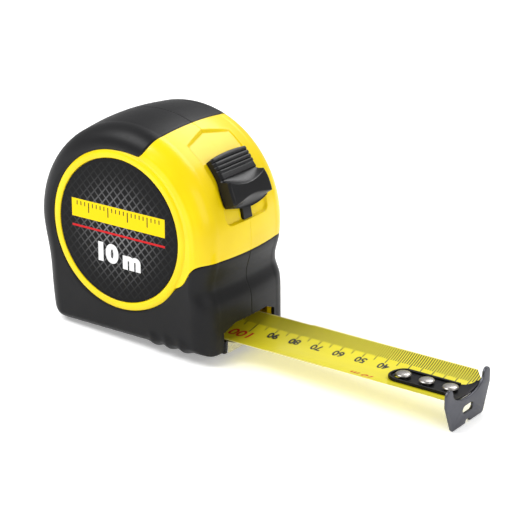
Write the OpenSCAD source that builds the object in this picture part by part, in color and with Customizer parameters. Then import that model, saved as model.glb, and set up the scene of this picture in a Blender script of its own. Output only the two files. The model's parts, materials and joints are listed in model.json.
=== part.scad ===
// Pocket tape measure, 10 m class, with part of its blade pulled out and locked.
// Units are millimetres. The blade leaves the case along +X and +Z is up.
// The origin is the middle of the flat base. The right side of the case is at -Y.

/* [Case] */
// Overall width across the two side faces
case_w = 54; // [50:0.5:64]
// Radius of the round back and top
case_r = 43; // [41:0.5:50]
// Height of the spool axis above the centre of that outline
axis_rise = 1; // [0:0.5:2]
// Distance of the spool axis in front of the origin
axis_x = 0.5; // [-2:0.5:3]
// Distance of the flat front face in front of the round outline
front_step = 0.5; // [0.5:0.5:4]
// Distance of the rear foot inside the round outline
rear_step = 4.5; // [2:0.5:10]
// Rounding where the sides turn into the top and back
edge_r = 9; // [6:0.5:10]
// Height of the rounding between the sides and the base
base_edge = 6; // [4:0.5:9]
// Radius of the rear bottom corner
rear_r = 9; // [5:0.5:12]
// Radius of the front bottom corner
front_r = 3; // [1:0.5:5]
// Thickness of the hard plastic wall
wall = 2.1; // [1.6:0.1:3]
// Thickness of the rubber moulded over the wall
grip_t = 1.5; // [1:0.1:2]
// Depth of the hollow across the front below the lock
waist_depth = 2.2; // [0:0.1:2.4]
// Depth of the middle of that hollow below the spool axis
waist_drop = 17; // [14:0.5:20]
// Height of that hollow
waist_h = 23; // [16:0.5:26]
// Depth below the spool axis at which rubber gives way to the bare shell
border_drop = 6.3; // [4:0.1:10]
// Angle on the top where the bare shell gives way to rubber
border_angle = 70; // [65:1:80]

/* [Label] */
// Distance of the printed disc's edge inside the round outline
label_in = 14.1; // [13:0.1:18]
// Thickness of the printed disc
label_t = 0.5; // [0.3:0.1:0.8]
// Width of the raised ring round the disc
ring_w = 2.6; // [2:0.1:3.5]

/* [Blade] */
// Width across the curved blade
blade_w = 31; // [25:0.5:32]
// Thickness of the coated blade
blade_t = 0.2; // [0.15:0.01:0.25]
// Radius of the blade's hollow cross-section
blade_curve_r = 32; // [31:0.5:40]
// Height of the middle of the blade's upper face
blade_z = 2.2; // [2.1:0.1:3]
// Distance from the front of the case to the hook's inner face, as the blade is drawn out here
blade_out = 95; // [70:1:120]
// Part of the front stretch's travel that the feed stretch makes
feed_share = 0.45; // [0.4:0.01:0.5]
// Size of the clipped corners at the blade's end
tip_chamfer = 4; // [2:0.5:5]
// Gap between stretches that slide on each other
slide_gap = 0.1; // [0.05:0.01:0.15]
// Clearance round the wound blade
coil_gap = 1.8; // [1:0.1:3]

/* [Spool] */
// Outer radius of the drum that the blade is wound on
drum_r = 22; // [20:0.5:24]
// Wall of the drum
drum_wall = 1.6; // [1.2:0.1:2]
// How far the drum's end flanges reach beyond the drum
flange_step = 4; // [2:0.5:6]
// Thickness of the drum's end flanges
flange_t = 1.2; // [1:0.1:1.5]
// Radius of the centre post
post_r = 4; // [3:0.1:5]
// Radial clearance of the drum on the post
post_gap = 0.05; // [0.02:0.01:0.1]
// Thickness of the spring strip
spring_t = 0.45; // [0.3:0.05:0.6]
// Turns of the spring
spring_turns = 7; // [5:1:9]

/* [Hook] */
// Thickness of the hook plate
hook_t = 1.2; // [1:0.1:1.5]
// How far each side of the hook draws in towards its lower edge
hook_taper = 4; // [0:0.5:6]
// Depth of the hook's lower edge below the base
hook_drop = 7.8; // [5:0.1:9]
// Height of the tops of the ears above the base
ear_top = 9.2; // [8:0.1:10]
// Width of each ear
ear_w = 4.4; // [3.5:0.1:5]
// Length of the tongue that is riveted to the blade
tongue_l = 36; // [34:0.5:40]
// Width of the tongue
tongue_w = 11; // [9:0.5:12]
// Thickness of the tongue
tongue_t = 0.6; // [0.5:0.1:0.8]
// Distance of the first rivet from the hook's inner face
rivet_first = 6.5; // [6:0.5:8]
// Distance between rivets
rivet_step = 10; // [8:0.5:10]
// Number of rivets
rivet_count = 3; // [2:1:3]
// Radius of a rivet's shank
rivet_r = 1.5; // [1.2:0.1:1.8]
// Radius of a rivet's head
rivet_head_r = 3; // [2.5:0.1:3.3]

/* [Lock] */
// Width of the recess round the lock button
window_w = 26; // [24:0.5:28]
// Angle of the recess's lower end above the horizontal
window_low = 8; // [6:0.5:9]
// Angle of the recess's upper end above the horizontal
window_high = 59; // [56:0.5:62]
// Depth of the recess
window_depth = 1.8; // [1.2:0.1:2]
// Side gap between the lock button and the recess
button_gap = 0.8; // [0.4:0.1:1.5]
// Angle of the button's lower end above the horizontal
button_low = 17.5; // [16:0.5:18]
// Angle of the button's upper end above the horizontal
button_high = 43; // [40:0.5:46]
// Angle that the button moves up to free the blade
lock_travel = 10.7; // [8:0.1:11]
// Width of the stem below the button
stem_w = 5.2; // [4:0.1:6]

/* [Fasteners and clip] */
// Radius of the case screws
screw_r = 1.2; // [1:0.1:1.5]
// Radius of the case screws' heads
screw_head_r = 2.6; // [2.2:0.1:2.8]
// Radius of the bosses that the screws turn into
boss_r = 2.8; // [2.4:0.1:3]
// Width of the belt clip
clip_w = 18; // [14:0.5:22]
// Thickness of the belt clip
clip_t = 1.2; // [1:0.1:1.5]
// Clear gap between the belt clip and the case
clip_gap = 5.2; // [5:0.1:7]

/* [Hidden] */
$fn = 64;

half_w = case_w / 2;
overlap = 1;                         // how far a cut or a joined piece runs past a face
fit_gap = 0.1;                       // gap between fixed pieces that fit into each other
bond_gap = 0.05;                     // gap between the shell and the rubber moulded on it
move_gap = 0.3;                      // gap between faces that pass each other
body_z = case_r;                     // centre of the round back and top
axis_z = body_z + axis_rise;
front_x = axis_x + case_r + front_step;
rear_x = case_r - axis_x - rear_step;
top_z = body_z + case_r;
border_z = axis_z - border_drop;
waist_z = axis_z - waist_drop;
label_r = case_r - label_in;
hook_x = front_x + blade_out;        // inner face of the hook, pushed in

// Blade cross-section: an arc about a line parallel to X
curve_z = blade_z + blade_curve_r;   // height of that line
under_r = blade_curve_r + blade_t;   // underside of the front stretch
feed_r = under_r + slide_gap;        // upper face of the feed stretch
plate_r = feed_r + blade_t + move_gap;
plate_t = 0.6;
channel_r = plate_r + plate_t + 0.05;
channel_w = blade_w + 2.2;
tongue_r = blade_curve_r - 0.15;     // underside of the hook's tongue
blade_tip = hook_x - fit_gap;
travel_in = hook_x - front_x - move_gap;
back_limit = -rear_x + 5;            // how far back a stretch of blade may reach
front_back = back_limit + travel_in; // inner end of the front stretch
feed_back = back_limit + feed_share * travel_in;
feed_front = front_x + feed_share * travel_in;
rivet_x = [for (i = [0 : rivet_count - 1]) hook_x - rivet_first - i * rivet_step];

// Mouth in the front face
mouth_w = blade_w + 2;
mouth_top = 11.3;                    // height in the middle
mouth_side = 8.7;                    // height at the sides
mouth_flat = 20;                     // width of the level middle part
lip_z = 0.4;                         // lower edge of the metal lip

// Inside of the case
inner_y = half_w - grip_t - wall;    // inner face of a side wall
coil_w = blade_w + 1;
drum_w = coil_w + 0.8;
hub_y = drum_w / 2 + flange_t + move_gap;
hub_r = 8;
flange_r = drum_r + flange_step;
spring_w = coil_w - 6;
waist_r = (waist_h * waist_h / 4 + waist_depth * waist_depth) / (2 * waist_depth);

// Case screws: [x, z] of each
boss_ring = case_r - 5;
screw_y = half_w - edge_r;           // seat of the screw heads
screw_end = -10;                     // tip of the screws
boss_y = screw_y + 2;                // where the bosses meet the rounded side
screw_at = [
    [front_x - 6.2, 14.6],
    [-rear_x + 6, 11.4],
    [axis_x + boss_ring * cos(140), body_z + boss_ring * sin(140)],
    [axis_x + boss_ring * cos(84), body_z + boss_ring * sin(84)]
];

// Lock: all its arcs are about the spool axis
floor_r = case_r - window_depth;     // floor of the recess
leg_out = case_r - grip_t - wall - axis_rise - 0.4;
leg_t = 1.4;
leg_in = leg_out - leg_t;
leg_w = 12;
leg_end = -48;                       // lower end of the leg
chamber_wall = 1.7;
chamber_r = leg_in - 0.6 - chamber_wall;
coil_r = chamber_r - coil_gap;
prong_w = 5;
prong_in = blade_w / 2 - 2.5 - prong_w;
prong_z = 6.3;                       // top of the rubber feet
fork_w = 2 * (prong_in + prong_w) + 1;
fork_low = -56;                      // lower end of the fork's crossbar
fork_in = coil_r + 1.7;
fork_x = axis_x + fork_in * cos(fork_low) - 0.1;
fork_l = 5;
prong_top = axis_z + fork_in * sin(fork_low) - 0.3;
button_w = window_w - 2 * button_gap;
stem_low = window_low + 0.5;
stem_high = 32;
slot_high = stem_high + lock_travel + 1.5;
button_under = floor_r + 0.25;
button_top = case_r + 1.4;
hump_r = case_r + 4.6;
hump_high = 30;
hollow_ring = case_r + 6.5;          // centre of the finger hollow above the hump
hollow_r = 4.6;
ridge_r = 0.9;
ridge_count = 3;

// Hook: it is as wide as the blade
hook_w = blade_w;
corner_r = 1.5;                      // rounding of its lower corners
rivet_rise = 0.6;                    // gap between the tongue and the rivets' heads

// Belt clip
clip_x = axis_x;
clip_screw_z = axis_z + 18;
clip_face = half_w + 0.05;
clip_boss_r = 5;
clip_screw_r = 1.5;
clip_head_r = 4;
clip_head_h = 1.8;

yellow = [0.98, 0.83, 0.05];
black = [0.13, 0.13, 0.14];
steel = [0.72, 0.73, 0.75];
gunmetal = [0.33, 0.34, 0.38];

// ---- helpers -------------------------------------------------------------

// Cylinder along Y from y0 to y1 at (x, z)
module bar_y(x, z, r, y0, y1) {
    translate([x, y1, z]) rotate([90, 0, 0]) cylinder(r = r, h = y1 - y0);
}

// Extrude a flat shape drawn in X and Z from y0 to y1
module extrude_y(y0, y1) {
    translate([0, y1, 0]) rotate([90, 0, 0]) linear_extrude(y1 - y0) children();
}

// Part of a ring about the spool axis, between two angles above the horizontal
module sector_y(r0, r1, a0, a1, w) {
    translate([axis_x, 0, axis_z])
        rotate([90, 0, 0]) rotate([0, 0, a0]) translate([0, 0, -w / 2])
            rotate_extrude(angle = a1 - a0, $fn = 96)
                translate([r0, 0]) square([r1 - r0, w]);
}

// Strip with the blade's hollow section, between two radii, from x0 to x1
module blade_strip(r0, r1, w, x0, x1) {
    intersection() {
        translate([x0, 0, curve_z]) rotate([0, 90, 0])
            difference() {
                cylinder(r = r1, h = x1 - x0, $fn = 180);
                translate([0, 0, -overlap]) cylinder(r = r0, h = x1 - x0 + 2 * overlap, $fn = 180);
            }
        translate([x0, -w / 2, curve_z - r1 - overlap]) cube([x1 - x0, w, r1]);
    }
}

// A cone that gives the hull below one circle at distance y, with its point inside
module outline_cone(x, z, r, y, fn) {
    translate([x, y, z]) rotate([y > 0 ? 90 : -90, 0, 0])
        cylinder(r1 = r, r2 = 0, h = 0.5, $fn = fn);
}

// The outline of the case at distance y from the middle, drawn in by d
module outline_ring(y, d, skin) {
    low = skin + d * base_edge / edge_r;
    fr = max(front_r - d, 0.6);
    rr = max(rear_r - d, 0.6);
    outline_cone(axis_x, body_z, case_r - skin - d, y, 72);
    outline_cone(front_x - skin - d - fr, low + fr, fr, y, 24);
    outline_cone(-rear_x + skin + d + rr, low + rr, rr, y, 24);
}

// Half of the case as a solid block, on the +Y side, drawn in by skin all round
module envelope(skin) {
    r = edge_r - skin;
    difference() {
        hull() {
            outline_ring(0, 0, skin);
            for (a = [0 : 22.5 : 90])
                outline_ring(half_w - edge_r + r * sin(a), r * (1 - cos(a)), skin);
        }
        // hollow across the front
        waist_x = front_x - waist_depth + waist_r;
        bar_y(waist_x, waist_z, waist_r + skin, -overlap, half_w + overlap, $fn = 120);
    }
}

// Where the shell is bare: the ring round the label and the front band, grown by gap
module bare_zone(gap) {
    extrude_y(-half_w - overlap, half_w + overlap) {
        translate([axis_x, axis_z]) circle(r = label_r + 0.2 + ring_w + gap, $fn = 96);
        polygon([
            [axis_x - gap, border_z - gap],
            [front_x + 10, border_z - gap],
            [front_x + 10, top_z + 20],
            [axis_x - gap + (top_z - axis_z + 20) / tan(border_angle), top_z + 20],
            [axis_x - gap, axis_z]
        ]);
    }
}

// Everything that is cut out of shell and rubber alike
module outside_cuts() {
    // recess for the lock button and slot for its stem
    sector_y(floor_r, case_r + 8, window_low, window_high, window_w);
    sector_y(leg_in, case_r + 8, window_low, slot_high, stem_w + 2 * move_gap);
    blade_channel();
    mouth();
}

// Deep round pockets in which the heads of the case screws sit
module head_pockets() {
    for (p = screw_at)
        bar_y(p[0], p[1], screw_head_r + move_gap, screw_y, half_w + overlap);
}

// The way that the blade takes along the base
module blade_channel() {
    intersection() {
        translate([back_limit - move_gap, 0, curve_z]) rotate([0, 90, 0])
            cylinder(r = channel_r, h = front_x - back_limit + 2, $fn = 180);
        translate([back_limit - 1, -channel_w / 2, 0])
            cube([front_x - back_limit + 5, channel_w, mouth_side]);
    }
}

// Opening in the front face, level in the middle and lower at the sides
module mouth() {
    translate([front_x - 6, 0, 0]) rotate([90, 0, 90]) linear_extrude(6 + overlap)
        polygon([
            [-mouth_w / 2, blade_z + 1],
            [mouth_w / 2, blade_z + 1],
            [mouth_w / 2, mouth_side],
            [mouth_flat / 2, mouth_top],
            [-mouth_flat / 2, mouth_top],
            [-mouth_w / 2, mouth_side]
        ]);
    // pocket for the metal lip and its bumper
    translate([front_x - 2.6, -mouth_w / 2, -overlap]) cube([2.6 + overlap, mouth_w, 6 + overlap]);
}

// Walls and bosses inside one half, on the +Y side
module inner_ribs() {
    intersection() {
        sector_y(chamber_r, chamber_r + chamber_wall, 5, 240, 2 * (inner_y + overlap));
        translate([-case_w * 2, 0, 0]) cube([case_w * 4, case_w, case_w * 2]);
    }
    bar_y(axis_x, axis_z, hub_r, hub_y, inner_y + overlap);
    for (p = screw_at) bar_y(p[0], p[1], boss_r, 0, boss_y);
}

// Half shell on the +Y side, before its own holes
module half_shell() {
    difference() {
        union() {
            difference() {
                union() {
                    intersection() {
                        envelope(0);
                        bare_zone(0);
                    }
                    envelope(grip_t);
                }
                envelope(grip_t + wall);
            }
            inner_ribs();
        }
        outside_cuts();
        // seat of the label
        bar_y(axis_x, axis_z, label_r + 0.2, half_w - label_t - 0.25, half_w + overlap, $fn = 96);
        // seat of the centre post
        bar_y(axis_x, axis_z, post_r, hub_y - overlap, inner_y + 0.5);
    }
}

// Rubber skin on the +Y side
module half_grip() {
    difference() {
        envelope(0);
        envelope(grip_t - bond_gap);
        bare_zone(bond_gap);
        outside_cuts();
    }
}

// ---- pieces --------------------------------------------------------------

// Right half of the case: its bosses take the threads of the screws
module case_right() {
    color(yellow) difference() {
        mirror([0, 1, 0]) half_shell();
        for (p = screw_at) bar_y(p[0], p[1], screw_r + 0.05, screw_end - 1, overlap);
    }
}

// Left half of the case: the screws and the belt clip are on this side
module case_left() {
    color(yellow) difference() {
        union() {
            half_shell();
            bar_y(clip_x, clip_screw_z, clip_boss_r, half_w - label_t - 0.5, half_w);
            bar_y(clip_x, clip_screw_z, clip_boss_r, hub_y + 0.5, half_w - 1);
        }
        for (p = screw_at) bar_y(p[0], p[1], screw_r + 0.2, -overlap, screw_y + overlap);
        head_pockets();
        bar_y(clip_x, clip_screw_z, clip_screw_r + 0.05, hub_y, half_w + overlap);
    }
}

module grip_right() {
    color(black) mirror([0, 1, 0]) half_grip();
}

module grip_left() {
    color(black) difference() {
        half_grip();
        head_pockets();
    }
}

// Printed disc in the ring on the right side
module label_right() {
    color(black)
        bar_y(axis_x, axis_z, label_r, -half_w + 0.2, -half_w + 0.2 + label_t, $fn = 96);
}

// Printed disc on the left side, with a hole for the boss of the belt clip
module label_left() {
    color(black) difference() {
        bar_y(axis_x, axis_z, label_r, half_w - 0.2 - label_t, half_w - 0.2, $fn = 96);
        bar_y(clip_x, clip_screw_z, clip_boss_r + 0.2, half_w - 2, half_w + overlap);
    }
}

// Steel wear plate: a trough under the blade and a lip across the front
module nose_plate() {
    lip_x = front_x - 0.9;
    color(steel) union() {
        blade_strip(plate_r, plate_r + plate_t, blade_w, lip_x - 25, lip_x + 0.4);
        difference() {
            translate([lip_x, -blade_w / 2, lip_z]) cube([0.8, blade_w, 6 - lip_z]);
            translate([lip_x - overlap, 0, curve_z]) rotate([0, 90, 0])
                cylinder(r = plate_r, h = 4, $fn = 180);
        }
    }
}

// Rubber bar behind the lip, which takes the knock of the hook
module hook_bumper() {
    color(black) difference() {
        translate([front_x - 2.5, -mouth_w / 2 + fit_gap, 0.1]) cube([1.5, mouth_w - 2 * fit_gap, 5]);
        translate([front_x - 5, 0, curve_z]) rotate([0, 90, 0])
            cylinder(r = plate_r + plate_t + fit_gap, h = 8, $fn = 180);
    }
}

// Front stretch of the blade, which carries the hook
module blade_front() {
    color(yellow) difference() {
        intersection() {
            blade_strip(blade_curve_r, under_r, blade_w, front_back, blade_tip);
            linear_extrude(20)
                polygon([
                    [front_back - overlap, -blade_w],
                    [blade_tip - tip_chamfer - blade_w / 2, -blade_w],
                    [blade_tip, -blade_w / 2 + tip_chamfer],
                    [blade_tip, blade_w / 2 - tip_chamfer],
                    [blade_tip - tip_chamfer - blade_w / 2, blade_w],
                    [front_back - overlap, blade_w]
                ]);
        }
        for (x = rivet_x) translate([x, 0, 0]) cylinder(r = rivet_r + 0.05, h = 10);
    }
}

// Stretch that follows inside the case and stands in for the blade that is being fed
module blade_feed() {
    color(yellow)
        blade_strip(feed_r, feed_r + blade_t, blade_w - 0.6, feed_back, feed_front);
}

// Wound blade
module blade_coil() {
    color([0.8, 0.72, 0.1]) difference() {
        bar_y(axis_x, axis_z, coil_r, -coil_w / 2, coil_w / 2, $fn = 120);
        bar_y(axis_x, axis_z, drum_r + 0.05, -coil_w, coil_w, $fn = 96);
    }
}

// Drum with one flange, turning on the centre post
module drum() {
    color([0.25, 0.26, 0.28]) difference() {
        union() {
            bar_y(axis_x, axis_z, drum_r, -drum_w / 2, drum_w / 2, $fn = 96);
            bar_y(axis_x, axis_z, flange_r, -drum_w / 2 - flange_t, -drum_w / 2, $fn = 96);
        }
        bar_y(axis_x, axis_z, drum_r - drum_wall, -drum_w / 2 + 1, drum_w, $fn = 96);
        bar_y(axis_x, axis_z, post_r + post_gap, -drum_w, drum_w);
        translate([axis_x, 0, axis_z]) cylinder(r = 1.25, h = case_r);
    }
}

// Flange that closes the drum, with a rim that snaps inside it
module drum_cover() {
    rim_r = drum_r - drum_wall - fit_gap;
    color([0.25, 0.26, 0.28]) difference() {
        union() {
            bar_y(axis_x, axis_z, flange_r, drum_w / 2 + 0.02, drum_w / 2 + flange_t, $fn = 96);
            bar_y(axis_x, axis_z, rim_r, drum_w / 2 - 2, drum_w / 2 + 0.5, $fn = 96);
        }
        bar_y(axis_x, axis_z, rim_r - 1.5, drum_w / 2 - 3, drum_w / 2 - 0.2, $fn = 96);
        bar_y(axis_x, axis_z, post_r + post_gap, 0, drum_w);
    }
}

// Coiled strip spring inside the drum, which winds the blade back in
module power_spring() {
    steps = 20;
    r_in = post_r + 0.8;
    r_out = drum_r - drum_wall - 0.8;
    n = spring_turns * steps;
    function at(i, t) =
        let (a = 360 * i / steps, r = r_in + (r_out - r_in) * i / n + t)
        [axis_x + r * cos(a), axis_z + r * sin(a)];
    color([0.45, 0.46, 0.5]) extrude_y(-spring_w / 2, spring_w / 2)
        polygon(concat([for (i = [0 : n]) at(i, 0)], [for (i = [n : -1 : 0]) at(i, spring_t)]));
}

// Rivet that holds the tail of the blade and of the spring in the drum wall
module tail_rivet() {
    color(steel) translate([axis_x, 0, axis_z + drum_r - drum_wall - 0.3])
        cylinder(r = 1.2, h = drum_wall + 0.25);
}

// Post between the two sides, with a slot for the inner end of the spring
module centre_post() {
    color([0.3, 0.3, 0.32]) difference() {
        bar_y(axis_x, axis_z, post_r - 0.01, -inner_y - 0.4, inner_y + 0.4);
        translate([axis_x - 0.4, -spring_w / 2, axis_z]) cube([0.8, spring_w, post_r + overlap]);
    }
}

// Outline of the hook plate in Y and Z
module hook_outline() {
    arc_r = hook_w / 2 - ear_w + 0.6;
    low_y = hook_w / 2 - hook_taper - corner_r;
    ear_y = hook_w / 2 - ear_w / 2;
    difference() {
        union() {
            hull() {
                for (s = [-1, 1])
                    translate([s * low_y, -hook_drop + corner_r]) circle(r = corner_r, $fn = 32);
                translate([-hook_w / 2, 3]) square([hook_w, 1]);
            }
            for (s = [-1, 1]) hull() {
                translate([s * ear_y, ear_top - ear_w / 2]) circle(d = ear_w, $fn = 32);
                translate([s * ear_y - ear_w / 2, 2]) square([ear_w, 1]);
            }
        }
        translate([0, arc_r + 2.2]) circle(r = arc_r, $fn = 64);
        // slot for a nail
        hull()
            for (s = [-1, 1]) translate([s * 1.9, -2.2]) circle(r = 1.2, $fn = 32);
        // notch in the lower edge
        polygon([
            [-2.2, -hook_drop - 1],
            [2.2, -hook_drop - 1],
            [1.2, -hook_drop + 1.3],
            [-1.2, -hook_drop + 1.3]
        ]);
    }
}

// Hook: a bent plate whose tongue slides a little on the rivets
module end_hook() {
    top_r = tongue_r - tongue_t;
    flare = hook_w / 2 - ear_w - 0.5;
    color(gunmetal) difference() {
        union() {
            translate([hook_x, 0, 0]) rotate([90, 0, 90]) linear_extrude(hook_t) hook_outline();
            intersection() {
                blade_strip(top_r, tongue_r, hook_w - 2 * ear_w, hook_x - tongue_l, hook_x + 0.5);
                linear_extrude(20) union() {
                    translate([hook_x - tongue_l + tongue_w / 2, 0]) circle(d = tongue_w);
                    translate([hook_x - tongue_l + tongue_w / 2, -tongue_w / 2])
                        square([tongue_l, tongue_w]);
                    polygon([
                        [hook_x - 5, -tongue_w / 2],
                        [hook_x - 1, -flare],
                        [hook_x + 1, -flare],
                        [hook_x + 1, flare],
                        [hook_x - 1, flare],
                        [hook_x - 5, tongue_w / 2]
                    ]);
                }
            }
        }
        for (x = rivet_x) translate([x, 0, 0]) {
            cylinder(r = rivet_r + fit_gap, h = 10);
            translate([-hook_t, 0, 0]) cylinder(r = rivet_r + fit_gap, h = 10);
            translate([-hook_t, -rivet_r - fit_gap, 0]) cube([hook_t, 2 * (rivet_r + fit_gap), 10]);
        }
    }
}

// Rivets through the blade: the hook's long holes let it move by its own thickness
module hook_rivets() {
    top_r = tongue_r - tongue_t;
    head_z = curve_z - sqrt(top_r * top_r - rivet_head_r * rivet_head_r) + rivet_rise;
    foot_z = curve_z - under_r;
    color(steel) for (x = rivet_x) translate([x, 0, 0]) {
        translate([0, 0, foot_z]) cylinder(r = rivet_r, h = head_z - foot_z + 0.3);
        translate([0, 0, head_z]) cylinder(r = rivet_head_r, h = 0.7);
        translate([0, 0, head_z + 0.7]) cylinder(r = rivet_head_r - 0.5, h = 0.3);
    }
}

// Thumb button: ribbed above, with a hump below to push against
module lock_button() {
    rib_a = (button_high - hump_high) / (ridge_count + 1);
    color(black) difference() {
        union() {
            sector_y(button_under, button_top, button_low, button_high, button_w);
            sector_y(button_under, hump_r, button_low, hump_high, button_w);
            for (i = [1 : ridge_count]) {
                a = hump_high + i * rib_a;
                bar_y(axis_x + (button_top - 0.2) * cos(a), axis_z + (button_top - 0.2) * sin(a),
                      ridge_r, -button_w / 2, button_w / 2, $fn = 32);
            }
        }
        // hollow above the hump
        bar_y(axis_x + hollow_ring * cos(hump_high + 1), axis_z + hollow_ring * sin(hump_high + 1),
              hollow_r, -button_w / 2 - overlap, button_w / 2 + overlap);
    }
}

// Slide under the front wall: stem, leg and the fork that straddles the hook's rivets
module lock_slider() {
    color(black) union() {
        sector_y(leg_out - 0.4, floor_r - 0.05, stem_low, stem_high, stem_w);
        sector_y(floor_r - 0.5, floor_r + 1, stem_low, button_low - 0.5, stem_w);
        sector_y(leg_in, leg_out, leg_end, button_high, leg_w);
        sector_y(fork_in, leg_out, fork_low, leg_end + 1, fork_w);
        for (s = [-1, 1])
            translate([fork_x, s * (prong_in + prong_w / 2) - prong_w / 2, prong_z])
                cube([fork_l, prong_w, prong_top - prong_z]);
    }
}

// Rubber feet of the fork, shaped to the hollow of the blade
module brake_pads() {
    color([0.2, 0.2, 0.2]) for (s = [-1, 1]) intersection() {
        translate([fork_x, s * (prong_in + prong_w / 2) - prong_w / 2, 0])
            cube([fork_l, prong_w, prong_z]);
        translate([fork_x - overlap, 0, curve_z]) rotate([0, 90, 0])
            cylinder(r = blade_curve_r - 0.35, h = fork_l + 2 * overlap, $fn = 180);
    }
}

// Spring steel clip: flat where it is screwed on, bowed away from the case below
module belt_clip() {
    y0 = clip_face;
    y1 = half_w + clip_gap;
    path = [
        [y0, clip_screw_z + 7],
        [y0, clip_screw_z - 6],
        [y1, clip_screw_z - 13],
        [y1, clip_screw_z - 32],
        [y0 + 1, clip_screw_z - 40],
        [y0 + 3, clip_screw_z - 45]
    ];
    n = len(path);
    back = [for (i = [n - 1 : -1 : 0]) path[i] + [clip_t, i == 0 || i == n - 1 ? 0 : -0.4]];
    color(steel) difference() {
        translate([clip_x - clip_w / 2, 0, 0]) rotate([90, 0, 90]) linear_extrude(clip_w)
            polygon(concat(path, back));
        bar_y(clip_x, clip_screw_z, clip_screw_r + fit_gap, half_w - 1, half_w + clip_gap);
    }
}

module clip_screw() {
    seat = clip_face + clip_t;
    color(steel) difference() {
        union() {
            bar_y(clip_x, clip_screw_z, clip_screw_r, hub_y + 1, seat + 0.5, $fn = 32);
            bar_y(clip_x, clip_screw_z, clip_head_r, seat, seat + clip_head_h, $fn = 48);
        }
        cross_recess(clip_x, clip_screw_z, seat + clip_head_h, 4.4);
    }
}

// Cross-shaped driver recess in a head that faces +Y
module cross_recess(x, z, y, size) {
    for (a = [0, 90])
        translate([x, y, z]) rotate([0, a, 0]) translate([-size / 2, -1, -0.4]) cube([size, 2, 0.8]);
}

module case_screws() {
    color([0.2, 0.2, 0.22]) for (p = screw_at) difference() {
        union() {
            bar_y(p[0], p[1], screw_r, screw_end, screw_y + 0.5, $fn = 32);
            bar_y(p[0], p[1], screw_head_r, screw_y, screw_y + 1.8, $fn = 32);
        }
        cross_recess(p[0], p[1], screw_y + 1.8, 3);
    }
}

case_right();
case_left();
grip_right();
grip_left();
label_right();
label_left();
nose_plate();
hook_bumper();
blade_front();
blade_feed();
blade_coil();
drum();
drum_cover();
power_spring();
tail_rivet();
centre_post();
end_hook();
hook_rivets();
lock_button();
lock_slider();
brake_pads();
belt_clip();
clip_screw();
case_screws();
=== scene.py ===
# %% [markdown]
# # A pocket tape measure
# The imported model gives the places, sizes and moving bodies. This script builds the looks round it:
# two hard yellow half shells, two rubber grips moulded over them, the printed discs, the thumb lock,
# the curved blade with its scale, the hook and the small metal parts. Everything is in metres, with +X
# the way the blade leaves the case and +Z up. The right side of the case faces -Y.

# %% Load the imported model
import json
import math

import bmesh
import bpy
import numpy as np
from mathutils import Matrix, Vector


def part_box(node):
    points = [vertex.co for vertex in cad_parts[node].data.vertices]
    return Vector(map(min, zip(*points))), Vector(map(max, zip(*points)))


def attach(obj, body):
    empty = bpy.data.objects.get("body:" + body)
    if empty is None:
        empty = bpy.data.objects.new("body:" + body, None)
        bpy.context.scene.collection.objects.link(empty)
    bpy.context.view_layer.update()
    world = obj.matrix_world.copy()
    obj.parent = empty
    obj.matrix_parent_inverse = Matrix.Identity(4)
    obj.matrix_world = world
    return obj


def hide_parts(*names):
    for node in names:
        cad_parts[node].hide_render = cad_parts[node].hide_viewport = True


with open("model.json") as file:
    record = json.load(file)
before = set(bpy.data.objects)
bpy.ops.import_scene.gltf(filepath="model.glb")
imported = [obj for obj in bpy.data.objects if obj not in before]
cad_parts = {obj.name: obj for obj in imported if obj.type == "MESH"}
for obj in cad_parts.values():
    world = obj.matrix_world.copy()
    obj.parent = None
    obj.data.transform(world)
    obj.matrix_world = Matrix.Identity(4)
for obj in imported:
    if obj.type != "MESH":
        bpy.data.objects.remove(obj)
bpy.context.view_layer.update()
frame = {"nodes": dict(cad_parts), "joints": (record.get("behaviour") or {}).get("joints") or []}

MM = 0.001
NODE = frame["nodes"]
print("CAD nodes:", len(NODE))

# %% [markdown]
# ## Sizes that the pieces share
# They are read from the boxes of the CAD nodes, so the looks follow the design when a size changes there.

# %% Driving sizes
case_low, case_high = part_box("grip_right")
HALF_W = -case_low.y
BASE_Z = case_low.z
FRONT_X = case_high.x
AXIS = Vector([j for j in frame["joints"] if j["name"] == "spool_spin"][0]["pos_m"])
CASE_R = (case_high.z - BASE_Z) / 2
BODY_Z = BASE_Z + CASE_R
disc_low, disc_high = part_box("label_right")
DISC_R = (disc_high.x - disc_low.x) / 2 - 0.4 * MM
RING_OUT = DISC_R + 3.3 * MM
EDGE_R = 9 * MM
FRONT_LIMIT = AXIS.x + CASE_R + 0.5 * MM
print("case", [round(v * 1000, 2) for v in (HALF_W, CASE_R, AXIS.x, AXIS.z, FRONT_LIMIT, DISC_R)])

# %% [markdown]
# ## Camera
# A long lens looks down on the front right of the case, which keeps the ruler's sides nearly parallel.

# %% Camera
camera_data = bpy.data.cameras.new("camera")
camera_data.sensor_width = 36
camera_data.lens = 140.4
camera = bpy.data.objects.new("camera", camera_data)
bpy.context.scene.collection.objects.link(camera)
azimuth, elevation, roll = math.radians(35.33), math.radians(20.72), math.radians(0.20)
right = Vector((math.cos(azimuth), math.sin(azimuth), 0))
back = Vector((
    math.sin(azimuth) * math.cos(elevation),
    -math.cos(azimuth) * math.cos(elevation),
    math.sin(elevation)))
up = back.cross(right)
cam_x = right * math.cos(roll) + up * math.sin(roll)
cam_y = up * math.cos(roll) - right * math.sin(roll)
camera.matrix_world = Matrix((
    (cam_x.x, cam_y.x, back.x, 0.47334),
    (cam_x.y, cam_y.y, back.y, -0.59720),
    (cam_x.z, cam_y.z, back.z, 0.30982),
    (0, 0, 0, 1)))
bpy.context.scene.camera = camera

# %% [markdown]
# ## Shader helpers
# A material is written as a formula. The class below wraps a socket, so that + - * / and a few named
# functions add Math nodes by themselves. Any other node comes from one method, `node`.

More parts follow.
